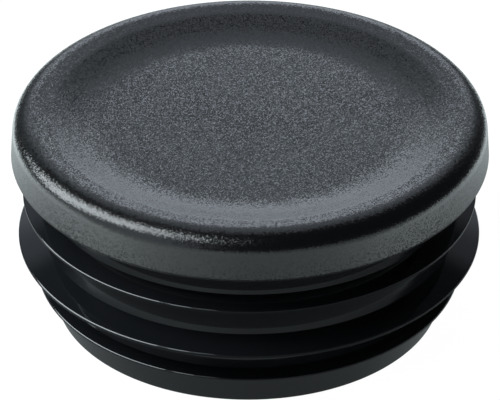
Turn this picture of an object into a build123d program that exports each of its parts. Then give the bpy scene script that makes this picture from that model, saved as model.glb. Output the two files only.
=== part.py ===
from build123d import *
from math import cos, radians, sin, tan
import os

# A ribbed push-in cap for the open end of a round tube, moulded in one piece.
# Millimetres and degrees. The cap stands on its open lower end, its axis is Z,
# and the tube slides over it from below until it meets the head's underside.

# The tube that the cap closes
tube_diameter = 60.0
tube_wall = 1.5

# Head: a low disc with a drafted side, a rounded rim and a shallow dish in its top
head_underside_height = 21.0
head_side_height = 3.7
head_side_draft = 4.0
head_lower_edge_chamfer = 0.25
head_edge_radius = 2.0
head_edge_sweep = 49.0
rim_crest_inset = 3.0
rim_inner_radius = 8.0
dish_depth = 1.45
dish_flank_slope = 12.0
dish_foot_radius = 14.0
head_plate_thickness = 2.6

# Core: the hollow plug below the head, with a tapered lead-in at its open end
core_clearance = 2.25
lead_in_height = 9.5
lead_in_inset = 1.65
end_chamfer = 0.25
end_wall = 1.2

# Fins: three thin rings that grip the bore, each a wedge in section
upper_fin_height = 15.65
upper_fin_grip = 0.1
middle_fin_height = 9.6
middle_fin_grip = 0.75
lower_fin_height = 4.6
lower_fin_clearance = 1.55
fin_top_slope = 7.0
fin_underside_slope = 5.0
fin_tip_thickness = 0.3
middle_fin_tip_bevel = 0.3

# Sizes that follow from the ones above
head_radius = tube_diameter / 2
bore_radius = head_radius - tube_wall
core_radius = bore_radius - core_clearance
end_radius = core_radius - lead_in_inset
cavity_radius = end_radius - end_wall
fins = [
    # height of the tip, radius of the tip, bevel of its upper edge
    (upper_fin_height, bore_radius + upper_fin_grip, 0),
    (middle_fin_height, bore_radius + middle_fin_grip, middle_fin_tip_bevel),
    (lower_fin_height, bore_radius - lower_fin_clearance, 0),
]


def along(point, angle, distance):
    """The point at a distance from another, in a direction given in degrees."""
    return point + Vector(cos(radians(angle)), sin(radians(angle))) * distance


# The head's top is a chain of tangent arcs and one straight flank, given here by the arcs' centres.
side_top = Vector(
    head_radius - head_side_height * tan(radians(head_side_draft)),
    head_underside_height + head_side_height,
)
edge_centre = along(side_top, head_side_draft, -head_edge_radius)
crest_reach = edge_centre.X - (head_radius - rim_crest_inset)
rim_radius = head_edge_radius + crest_reach / cos(radians(head_edge_sweep))
rim_centre = along(edge_centre, head_edge_sweep, head_edge_radius - rim_radius)
crest = along(rim_centre, 90, rim_radius)
dish_floor_height = crest.Y - dish_depth
arcs_drop = (rim_inner_radius + dish_foot_radius) * (1 - cos(radians(dish_flank_slope)))
flank_length = (dish_depth - arcs_drop) / sin(radians(dish_flank_slope))
inner_centre = along(crest, 90, -rim_inner_radius)
flank_top = along(inner_centre, 90 + dish_flank_slope, rim_inner_radius)
flank_foot = along(flank_top, 180 + dish_flank_slope, flank_length)
foot_centre = along(flank_foot, 90 + dish_flank_slope, dish_foot_radius)
cavity_roof_height = dish_floor_height - head_plate_thickness


def head_section():
    """Right half of the head's section."""
    top = [
        CenterArc(edge_centre, head_edge_radius, head_side_draft, head_edge_sweep - head_side_draft),
        CenterArc(rim_centre, rim_radius, head_edge_sweep, 90 - head_edge_sweep),
        CenterArc(inner_centre, rim_inner_radius, 90, dish_flank_slope),
        Line(flank_top, flank_foot),
        CenterArc(foot_centre, dish_foot_radius, 270, dish_flank_slope),
    ]
    rest = Polyline(
        (foot_centre.X, dish_floor_height),
        (0, dish_floor_height),
        (0, head_underside_height),
        (head_radius, head_underside_height),
        side_top,
    )
    return make_face(Curve() + top + rest)


def core_section():
    """Right half of the core's section, before the cavity is cut."""
    outline = Polyline(
        (0, 0),
        (end_radius, 0),
        (core_radius, lead_in_height),
        (core_radius, head_underside_height),
        (0, head_underside_height),
        close=True,
    )
    return make_face(outline)


def cavity_section():
    """Right half of the cavity, as wide at its mouth as at its roof so that it leaves the mould."""
    outline = Polyline(
        (0, 0),
        (cavity_radius, 0),
        (cavity_radius, cavity_roof_height),
        (0, cavity_roof_height),
        close=True,
    )
    return make_face(outline)


def core_radius_at(height):
    """Outside radius of the core, which narrows below the lead-in height."""
    return core_radius - lead_in_inset * max(0, 1 - height / lead_in_height)


def fin_section(height, tip_radius, bevel):
    """A wedge from inside the core's wall to a thin upright tip, with its upper edge bevelled."""
    root = core_radius_at(height) - end_wall / 2
    tip_top = height + fin_tip_thickness / 2
    tip_bottom = height - fin_tip_thickness / 2
    bevel_radius = tip_radius - bevel
    outline = [
        (root, tip_bottom - (tip_radius - root) * tan(radians(fin_underside_slope))),
        (tip_radius, tip_bottom),
        (tip_radius, tip_top),
        (bevel_radius, tip_top + bevel),
        (root, tip_top + bevel + (bevel_radius - root) * tan(radians(fin_top_slope))),
    ]
    if bevel == 0:
        outline.pop(3)
    return make_face(Polyline(outline, close=True))


def chamfered(section, corner, length):
    """The section with its corner nearest to a point chamfered."""
    return chamfer(section.vertices().sort_by_distance(corner)[0], length)


def cap_section():
    """Right half of the whole cap's section."""
    section = head_section() + core_section()
    for fin in fins:
        section += fin_section(*fin)
    section -= cavity_section()
    section = chamfered(section, (head_radius, head_underside_height), head_lower_edge_chamfer)
    return chamfered(section, (end_radius, 0), end_chamfer)


if __name__ == "__main__":
    cap = revolve(Plane.XZ * cap_section(), Axis.Z)
    os.makedirs("parts", exist_ok=True)
    export_step(cap, "parts/end_cap.step")
    print("rim radius", round(rim_radius, 2), "crest", round(crest.X, 2), round(crest.Y, 2))
    print("dish floor", round(dish_floor_height, 2), "cavity roof", round(cavity_roof_height, 2))
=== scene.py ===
from math import ceil, cos, degrees, pi, radians, sin, tan
import bpy
from mathutils import Matrix, Vector


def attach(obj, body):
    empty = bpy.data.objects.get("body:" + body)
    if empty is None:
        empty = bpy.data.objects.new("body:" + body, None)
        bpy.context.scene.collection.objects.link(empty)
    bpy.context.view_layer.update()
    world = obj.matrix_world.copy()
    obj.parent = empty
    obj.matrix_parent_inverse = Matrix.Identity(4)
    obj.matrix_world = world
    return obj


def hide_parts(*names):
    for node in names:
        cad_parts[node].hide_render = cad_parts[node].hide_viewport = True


# A ribbed tube end cap, turned about Z from a half section of its own. Its outside sizes are
# the CAD solid's. Its edges are rounded, the dish's flank and the fins' upper faces are
# steeper, and the plug leans a little. The head is grained and the plug is glossy.
# Lengths are in millimetres up to the meshes, which are in metres. Angles are in degrees.

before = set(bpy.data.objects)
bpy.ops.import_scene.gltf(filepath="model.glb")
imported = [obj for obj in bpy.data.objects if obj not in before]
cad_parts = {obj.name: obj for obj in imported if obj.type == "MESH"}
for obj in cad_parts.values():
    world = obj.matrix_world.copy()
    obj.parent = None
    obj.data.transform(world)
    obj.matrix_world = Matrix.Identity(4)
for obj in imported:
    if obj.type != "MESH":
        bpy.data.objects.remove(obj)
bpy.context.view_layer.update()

MM = 0.001

# Head: a drafted side, a rounded edge, a crest, and a brink over a shallow dish
head_radius = 30.0
head_underside_height = 21.0
head_side_height = 3.7
head_side_draft = 4.0
head_lower_edge_radius = 0.3
head_edge_radius = 2.0
head_edge_sweep = 49.0
rim_crest_radius = 27.0
rim_inner_slope = 6.0
brink_radius = 25.2
brink_rounding = 3.0
dish_depth = 1.5
dish_flank_slope = 16.0
dish_foot_radius = 16.0
head_plate_thickness = 2.6
head_root_radius = 0.5

# Core and cavity
core_radius = 26.25
lead_in_height = 9.5
end_radius = 24.6
end_wall = 1.2
end_edge_radius = 0.25
cavity_corner_radius = 0.8

# Fins, from the upper one down: height and radius of the tip, bevel of its upper edge
fins = [
    (15.65, 28.6, 0.08),
    (9.6, 29.25, 0.1),
    (4.6, 26.95, 0.08),
]
fin_top_slope = 22.0
fin_underside_slope = 5.0
fin_tip_thickness = 0.3
fin_edge_radius = 0.06

# The plug leans to the left, by this share of the distance below the head
plug_lean = 0.012

# Mesh: parts of a turn, step of an arc up to a radius above which it gets finer, step of the
# small rounded corners, distance from a corner of the extra points that keep flat faces flat,
# and the angle from which an edge is sharp
segments = 288
arc_step = 12.0
arc_step_radius = 2.0
corner_step = 25.0
support_distance = 0.12
sharp_angle = 40.0

# Radii of the rings on the dish's floor and on the cavity's roof
dish_floor_rings = (0.0, 1.0, 3.0, 6.0, 10.0, 14.0, 17.0)
cavity_roof_rings = (14.0, 7.0, 2.0, 0.0)

# The grained skin covers what is above this height and doesn't face down, without the cavity,
# whose faces all lie within the zone's height and radius
skin_height = head_underside_height + 0.05
skin_least_normal = -0.3
cavity_zone_height = 24.0
cavity_zone_radius = 24.0

# Head's skin: base colour, roughness and facets per metre. The facets tilt by side_grain_tilt
# where the upward part of the skin's normal is side_upward or less, and by grain_tilt where it
# is top_upward or more.
head_color = (0.002, 0.0021, 0.0022, 1)
head_roughness = 0.2
grain_scale = 8500.0
grain_tilt = 0.23
side_grain_tilt = 0.13
side_upward = 0.2
top_upward = 0.7

# Plug's skin: base colour, roughness, and faint waves, with their height in metres
plug_color = (0.005, 0.0056, 0.0064, 1)
plug_roughness = 0.07
wave_scale = 400.0
wave_detail = 2.0
wave_strength = 0.15
wave_height = 0.00003

# Room: grey by elevation, and patches of pale wall, as (azimuth from, to, blur),
# (elevation from, to, blur) and glow. Azimuth 0 is behind the object here, 90 on its right.
room_tint = (0.91, 1.0, 1.12)
room_glow = [(-90, 0.15), (-4, 0.1), (20, 0.06), (90, 0.03)]
walls = [
    ((-25, 25, 12), (16, 54, 12), 0.61),
    ((-14, 14, 10), (9, 23, 8), 1.75),
    ((-9, 9, 8), (-5, 8, 6), 1.1),
    ((-28, 28, 12), (50, 68, 12), 0.65),
    ((-155, -80, 30), (-12, 42, 16), 0.9),
    ((-38, -20, 8), (14, 34, 8), 0.3),
    ((20, 38, 8), (14, 34, 8), 0.19),
]

# Floor: its size and own skin, the strength of the glow over it, and that glow's share in what
# the camera sees
floor_radius = 4000.0
floor_sides = 96
floor_color = (0.85, 0.85, 0.85, 1)
floor_roughness = 0.9
floor_white = 1.1
floor_white_share = 0.9

# Floor as the gloss mirrors it, a glow painted on the floor for reflections only: grey by the distance
# from the axis, up to floor_glow_length, with painted shade in a ring near the object. Between the two
# limits of front_to_side, along Y, the front's greys give way to the side's.
floor_tint = (0.89, 1.0, 1.02)
front_floor_glow = [
    (0, 0.16), (28, 0.15), (38, 0.09), (46, 0.035), (62, 0.03), (70, 0.85), (110, 0.9), (180, 0.7),
]
side_floor_glow = [
    (0, 0.1), (29, 0.07), (38, 0.08), (48, 0.18), (56, 0.25), (70, 0.6), (110, 0.9), (180, 0.7),
]
floor_glow_length = 200.0
front_to_side = (-18.0, 4.0)

# Factors on that grey, which paint light and shade on it: brighter within 45 mm in front, dim far
# behind, brighter on the left. Axis, start and end along it, factor before the start and after the end
floor_shading = [
    ("Y", -75.0, -45.0, 1.1, 2.2),
    ("Y", 50.0, 150.0, 1.0, 0.15),
    ("X", -40.0, 0.0, 1.35, 1.0),
]

# Strip lamps, as the direction of one end, of the other end, and radiance.
# Azimuth 0 is in front of the object here, 90 on its right. Sizes are in metres.
lamp_distance = 1.2
lamp_width = 0.62
lamp_tint = (0.92, 1.0, 1.03)
lamp_strips = [
    ((-57, 57), (-113, 17), 9.0),
    ((-44, 62), (-57, 57), 5.0),
    ((-29, 66), (-44, 62), 2.0),
]

# Camera. Its clip distances are in metres.
camera_distance = 496.0
camera_elevation = 32.5
camera_lens = 282.0
camera_clip = (0.05, 20)
aim_height = 13.6


# ---------------------------------------------------------------- section

def along(point, angle, distance):
    """The point at a distance from another, in a direction given in degrees."""
    return Vector((point.x + distance * cos(radians(angle)), point.y + distance * sin(radians(angle))))


def arc(centre, radius, start, end):
    """Points of an arc, both ends included."""
    count = max(2, ceil(abs(end - start) / arc_step * max(1.0, radius / arc_step_radius)))
    return [along(centre, start + (end - start) * i / count, radius) for i in range(count + 1)]


def head_top():
    """Points from the dish's centre to the upper end of the head's side, and the dish's height."""
    side_top = Vector((
        head_radius - head_side_height * tan(radians(head_side_draft)),
        head_underside_height + head_side_height,
    ))
    edge_centre = along(side_top, head_side_draft, -head_edge_radius)
    rim_radius = head_edge_radius + (edge_centre.x - rim_crest_radius) / cos(radians(head_edge_sweep))
    rim_centre = along(edge_centre, head_edge_sweep, head_edge_radius - rim_radius)
    crest = along(rim_centre, 90, rim_radius)
    dish_height = crest.y - dish_depth
    rim_end = along(rim_centre, 90 + rim_inner_slope, rim_radius)
    brink_drop = (rim_end.x - brink_radius) * tan(radians(rim_inner_slope))
    brink = Vector((brink_radius, rim_end.y - brink_drop))
    brink_centre = along(brink, 90 + rim_inner_slope, -brink_rounding)
    flank_top = along(brink_centre, 90 + dish_flank_slope, brink_rounding)
    foot_drop = dish_foot_radius * (1 - cos(radians(dish_flank_slope)))
    flank_length = (flank_top.y - dish_height - foot_drop) / sin(radians(dish_flank_slope))
    flank_foot = along(flank_top, 180 + dish_flank_slope, flank_length)
    foot_centre = along(flank_foot, 90 + dish_flank_slope, dish_foot_radius)
    points = [Vector((r, dish_height)) for r in dish_floor_rings]
    points += arc(foot_centre, dish_foot_radius, 270, 270 + dish_flank_slope)
    points += arc(brink_centre, brink_rounding, 90 + dish_flank_slope, 90 + rim_inner_slope)
    points += arc(rim_centre, rim_radius, 90 + rim_inner_slope, head_edge_sweep)
    points += arc(edge_centre, head_edge_radius, head_edge_sweep, head_side_draft)[1:]
    return points, dish_height


def core_radius_at(height):
    """Outside radius of the core, which narrows below the lead-in height."""
    if height >= lead_in_height:
        return core_radius
    return end_radius + (core_radius - end_radius) * height / lead_in_height


def fin_corners(height, radius, bevel):
    """A fin's corners (radius, height, rounding), from its upper root to its lower one. Both
    roots are left sharp."""
    root = core_radius_at(height)
    reach = radius - root
    tip_top = height + fin_tip_thickness / 2
    tip_bottom = height - fin_tip_thickness / 2
    return [
        (root, tip_top + bevel + (reach - bevel) * tan(radians(fin_top_slope)), 0),
        (radius - bevel, tip_top + bevel, fin_edge_radius),
        (radius, tip_top, fin_edge_radius),
        (radius, tip_bottom, fin_edge_radius),
        (root, tip_bottom - reach * tan(radians(fin_underside_slope)), 0),
    ]


def corner_arc(before, here, after, radius):
    """Points of the arc that rounds a corner between the points before and after it."""
    back = (before - here).normalized()
    ahead = (after - here).normalized()
    half = back.angle(ahead) / 2
    reach = radius / tan(half)
    centre = here + (back + ahead).normalized() * radius / sin(half)
    start = here + back * reach - centre
    end = here + ahead * reach - centre
    count = max(3, ceil((180 - 2 * degrees(half)) / corner_step))
    return [centre + start.lerp(end, i / count).normalized() * radius for i in range(count + 1)]


def rounded(corners):
    """Points along a line of corners (radius, height, rounding), leaving out its two ends."""
    places = [Vector(corner[:2]) for corner in corners]
    points = []
    for i in range(1, len(corners) - 1):
        rounding = corners[i][2]
        points += corner_arc(*places[i - 1:i + 2], rounding) if rounding else [places[i]]
    return points


def supported(points):
    """The same line with extra points near the ends of its long straight runs."""
    out = [points[0]]
    for here, there in zip(points, points[1:]):
        run = there - here
        if run.length > 4 * support_distance:
            step = run.normalized() * support_distance
            out += [here + step, there - step]
        out.append(there)
    return out


def cap_section():
    """The half section, from the dish's centre over the outside to the cavity roof's centre."""
    top, dish_height = head_top()
    roof_height = dish_height - head_plate_thickness
    below = [
        (top[-1].x, top[-1].y, 0),
        (head_radius, head_underside_height, head_lower_edge_radius),
        (core_radius, head_underside_height, head_root_radius),
    ]
    for fin in fins:
        below += fin_corners(*fin)
    below += [
        (end_radius, 0, end_edge_radius),
        (end_radius - end_wall, 0, end_edge_radius),
        (end_radius - end_wall, roof_height, cavity_corner_radius),
        (0, roof_height, 0),
    ]
    roof = [Vector((r, roof_height)) for r in cavity_roof_rings]
    return supported(top + rounded(below)) + roof


# ---------------------------------------------------------------- mesh

def turned(name, section):
    """A closed surface of revolution about Z from a section that starts and ends on the axis."""
    verts = [(0, 0, section[0].y * MM)]
    rings = section[1:-1]
    for p in rings:
        aside = -plug_lean * max(0.0, head_underside_height - p.y)
        for s in range(segments):
            turn = 2 * pi * s / segments
            verts.append(((p.x * sin(turn) + aside) * MM, -p.x * MM * cos(turn), p.y * MM))
    verts.append((0, 0, section[-1].y * MM))
    last = len(verts) - 1
    faces = []
    for s in range(segments):
        t = (s + 1) % segments
        faces.append((0, 1 + s, 1 + t))
        faces.append((last, last - segments + t, last - segments + s))
        for i in range(len(rings) - 1):
            here = 1 + i * segments
            there = here + segments
            faces.append((here + s, there + s, there + t, here + t))
    mesh = bpy.data.meshes.new(name)
    mesh.from_pydata(verts, [], faces)
    mesh.shade_smooth()
    mesh.set_sharp_from_angle(angle=radians(sharp_angle))
    piece = bpy.data.objects.new(name, mesh)
    bpy.context.scene.collection.objects.link(piece)
    return piece


# ---------------------------------------------------------------- nodes

def node(nodes, kind, **inputs):
    """A new node with some of its sockets set."""
    made = nodes.new(kind)
    for key, value in inputs.items():
        made.inputs[key.replace("_", " ")].default_value = value
    return made


def feed(links, socket, value):
    """Links a socket to another one, or sets it to a constant."""
    if isinstance(value, bpy.types.NodeSocket):
        links.new(value, socket)
    else:
        socket.default_value = value


def calculated(nodes, links, kind, operation, values):
    """The first output of a math node that is fed by sockets or constants."""
    made = nodes.new(kind)
    made.operation = operation
    for socket, value in zip(made.inputs, values):
        feed(links, socket, value)
    return made.outputs[0]


def math_node(nodes, links, operation, *values):
    """The output of a math node."""
    return calculated(nodes, links, "ShaderNodeMath", operation, values)


def vector_node(nodes, links, operation, *values):
    """The output of a vector math node."""
    return calculated(nodes, links, "ShaderNodeVectorMath", operation, values)


def axes_of(nodes, links, place):
    """The X, Y and Z of a vector."""
    split = nodes.new("ShaderNodeSeparateXYZ")
    links.new(place, split.inputs[0])
    return split.outputs


def passage(nodes, links, value, start, end, before, after, kind="LINEAR"):
    """A number that goes from before to after while another one goes from start to end."""
    made = node(nodes, "ShaderNodeMapRange", From_Min=start, From_Max=end, To_Min=before, To_Max=after)
    made.interpolation_type = kind
    links.new(value, made.inputs["Value"])
    return made.outputs["Result"]


def blend(nodes, links, share, first, second):
    """The first of two colours where the share is 0, and the second where it is 1."""
    made = nodes.new("ShaderNodeMix")
    made.data_type = "RGBA"
    links.new(share, made.inputs["Factor"])
    feed(links, made.inputs["A"], first)
    feed(links, made.inputs["B"], second)
    return made.outputs["Result"]


def grey_ramp(nodes, links, share, low, high, stops):
    """A grey by a share that is 0 at low and 1 at high, from stops of (place, grey)."""
    made = nodes.new("ShaderNodeValToRGB")
    elements = made.color_ramp.elements
    elements.remove(elements[-1])
    for i, (place, grey) in enumerate(stops):
        position = (place - low) / (high - low)
        stop = elements[0] if i == 0 else elements.new(position)
        stop.position = position
        stop.color = (grey, grey, grey, 1)
    links.new(share, made.inputs["Fac"])
    return made.outputs["Color"]


# ---------------------------------------------------------------- materials

def material(name, color, roughness):
    """A new material with its nodes, its links and its shader."""
    made = bpy.data.materials.new(name)
    made.use_nodes = True
    nodes, links = made.node_tree.nodes, made.node_tree.links
    shader = nodes["Principled BSDF"]
    shader.inputs["Base Color"].default_value = color
    shader.inputs["Roughness"].default_value = roughness
    return made, nodes, links, shader


def grained_plastic():
    """The head's skin: near-black plastic whose fine grain is a mosaic of small tilted facets."""
    made, nodes, links, shader = material("grained_plastic", head_color, head_roughness)
    place = nodes.new("ShaderNodeTexCoord")
    cells = node(nodes, "ShaderNodeTexVoronoi", Scale=grain_scale)
    links.new(place.outputs["Object"], cells.inputs["Vector"])
    normal = nodes.new("ShaderNodeNewGeometry").outputs["Normal"]
    upward = axes_of(nodes, links, normal)["Z"]
    strength = passage(nodes, links, upward, side_upward, top_upward, side_grain_tilt, grain_tilt)
    tilt = vector_node(nodes, links, "SUBTRACT", cells.outputs["Color"], (0.5, 0.5, 0.5))
    tilt = vector_node(nodes, links, "MULTIPLY", tilt, strength)
    facet = vector_node(nodes, links, "ADD", normal, tilt)
    facet = vector_node(nodes, links, "NORMALIZE", facet)
    links.new(facet, shader.inputs["Normal"])
    return made


def smooth_plastic():
    """The plug's skin: near-black plastic, glossy from a polished mould and faintly wavy."""
    made, nodes, links, shader = material("smooth_plastic", plug_color, plug_roughness)
    place = nodes.new("ShaderNodeTexCoord")
    flow = node(nodes, "ShaderNodeTexNoise", Scale=wave_scale, Detail=wave_detail)
    links.new(place.outputs["Object"], flow.inputs["Vector"])
    bump = node(nodes, "ShaderNodeBump", Strength=wave_strength, Distance=wave_height)
    links.new(flow.outputs["Fac"], bump.inputs["Height"])
    links.new(bump.outputs["Normal"], shader.inputs["Normal"])
    return made


def dress(cap):
    """Gives the head the grained skin, and the plug, the underside and the cavity the smooth one."""
    cap.data.materials.append(grained_plastic())
    cap.data.materials.append(smooth_plastic())
    for face in cap.data.polygons:
        height = face.center.z
        on_head = height > skin_height * MM and face.normal.z > skin_least_normal
        in_cavity = height < cavity_zone_height * MM and face.center.xy.length < cavity_zone_radius * MM
        face.material_index = 0 if on_head and not in_cavity else 1


def painted_floor_reflection(nodes, links):
    """The glow painted on the floor for the gloss alone: painted shade near the object, pale farther
    off, and painted light on the left.
    """
    place = nodes.new("ShaderNodeTexCoord").outputs["Object"]
    axes = axes_of(nodes, links, place)
    radius = nodes.new("ShaderNodeVectorMath")
    radius.operation = "LENGTH"
    links.new(place, radius.inputs[0])
    scale = 1 / (floor_glow_length * MM)
    share = math_node(nodes, links, "MULTIPLY", radius.outputs["Value"], scale)
    front = grey_ramp(nodes, links, share, 0, floor_glow_length, front_floor_glow)
    side = grey_ramp(nodes, links, share, 0, floor_glow_length, side_floor_glow)
    start, end = front_to_side
    beside = passage(nodes, links, axes["Y"], start * MM, end * MM, 0.0, 1.0)
    color = blend(nodes, links, beside, front, side)
    color = vector_node(nodes, links, "MULTIPLY", color, floor_tint)
    # painted light and shade on the mirrored floor: brighter near in front, dim far behind, brighter on
    # the left
    for axis, start, end, before, after in floor_shading:
        factor = passage(nodes, links, axes[axis], start * MM, end * MM, before, after)
        color = vector_node(nodes, links, "MULTIPLY", color, factor)
    return color


def floor_material():
    """Pale floor: nearly white to the camera, with the object's shadow kept, and a painted glow of its
    own where the gloss mirrors it, with painted shade near the object."""
    made, nodes, links, shader = material("pale_floor", floor_color, floor_roughness)
    shader.inputs["Specular IOR Level"].default_value = 0.0
    path = nodes.new("ShaderNodeLightPath")
    straight, glossy = path.outputs["Is Camera Ray"], path.outputs["Is Glossy Ray"]
    white = node(nodes, "ShaderNodeEmission", Strength=floor_white)
    glow = blend(nodes, links, straight, painted_floor_reflection(nodes, links), (1, 1, 1, 1))
    links.new(glow, white.inputs["Color"])
    share = math_node(nodes, links, "MULTIPLY_ADD", straight, floor_white_share, glossy)
    mix = nodes.new("ShaderNodeMixShader")
    links.new(share, mix.inputs["Fac"])
    links.new(shader.outputs[0], mix.inputs[1])
    links.new(white.outputs[0], mix.inputs[2])
    links.new(mix.outputs[0], nodes["Material Output"].inputs["Surface"])
    return made


# ---------------------------------------------------------------- stage

def floor():
    """A wide round floor under the object."""
    bpy.ops.mesh.primitive_circle_add(
        vertices=floor_sides, radius=floor_radius * MM, fill_type="NGON", location=(0, 0, 0),
    )
    made = bpy.context.active_object
    made.name = "floor"
    made.data.materials.append(floor_material())


def window(nodes, links, value, low, high, blur):
    """1 between two angles and 0 outside them, with soft edges of a given width."""
    sides = []
    for edge, before, after in ((low, 0.0, 1.0), (high, 1.0, 0.0)):
        start, end = radians(edge - blur / 2), radians(edge + blur / 2)
        sides.append(passage(nodes, links, value, start, end, before, after, "SMOOTHSTEP"))
    return math_node(nodes, links, "MULTIPLY", *sides)


def studio_world():
    """White to the camera, and to all else a dim room with patches of pale wall."""
    world = bpy.data.worlds.new("studio")
    world.use_nodes = True
    nodes, links = world.node_tree.nodes, world.node_tree.links
    axes = axes_of(nodes, links, nodes.new("ShaderNodeTexCoord").outputs["Generated"])
    elevation = math_node(nodes, links, "ARCSINE", axes["Z"])
    azimuth = math_node(nodes, links, "ARCTAN2", axes["X"], axes["Y"])
    share = math_node(nodes, links, "MULTIPLY_ADD", elevation, 1 / pi, 0.5)
    total = grey_ramp(nodes, links, share, -90, 90, room_glow)
    for across, up, glow in walls:
        sides = window(nodes, links, azimuth, *across), window(nodes, links, elevation, *up)
        patch = math_node(nodes, links, "MULTIPLY", *sides)
        lit = math_node(nodes, links, "MULTIPLY", patch, glow)
        total = math_node(nodes, links, "ADD", total, lit)
    room = vector_node(nodes, links, "MULTIPLY", total, room_tint)
    straight = nodes.new("ShaderNodeLightPath").outputs["Is Camera Ray"]
    seen = blend(nodes, links, straight, room, (1, 1, 1, 1))
    links.new(seen, nodes["Background"].inputs["Color"])
    bpy.context.scene.world = world


def direction(azimuth, elevation):
    """A unit vector from two angles. Azimuth 0 is in front of the object, 90 on its right."""
    a, e = radians(azimuth), radians(elevation)
    return Vector((sin(a) * cos(e), -cos(a) * cos(e), sin(e)))


def strip_lamp(start, end, radiance):
    """A long lamp that faces the object and reaches from one direction to another."""
    first, last = direction(*start), direction(*end)
    outward = (first + last).normalized()
    lengthwise = (last - first).normalized()
    length = 2 * lamp_distance * tan(first.angle(last) / 2)
    lamp = bpy.data.lights.new("strip", "AREA")
    lamp.shape = "RECTANGLE"
    lamp.size = length
    lamp.size_y = lamp_width
    lamp.color = lamp_tint
    lamp.energy = radiance * pi * length * lamp_width
    made = bpy.data.objects.new("strip", lamp)
    made.location = outward * lamp_distance
    axes = Matrix((lengthwise, outward.cross(lengthwise), outward))
    made.rotation_euler = axes.transposed().to_euler()
    bpy.context.scene.collection.objects.link(made)


def camera():
    """The photograph's view."""
    e = radians(camera_elevation)
    back = Vector((0, -cos(e), sin(e)))
    aim = Vector((0, 0, aim_height))
    data = bpy.data.cameras.new("camera")
    data.lens = camera_lens
    data.clip_start, data.clip_end = camera_clip
    made = bpy.data.objects.new("camera", data)
    made.location = (aim + back * camera_distance) * MM
    made.rotation_euler = back.to_track_quat("Z", "Y").to_euler()
    bpy.context.scene.collection.objects.link(made)
    bpy.context.scene.camera = made


cap = turned("end_cap_body", cap_section())
dress(cap)
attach(cap, "root")
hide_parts("end_cap")

floor()
studio_world()
for strip in lamp_strips:
    strip_lamp(*strip)
camera()
bpy.context.scene.view_settings.view_transform = "Standard"
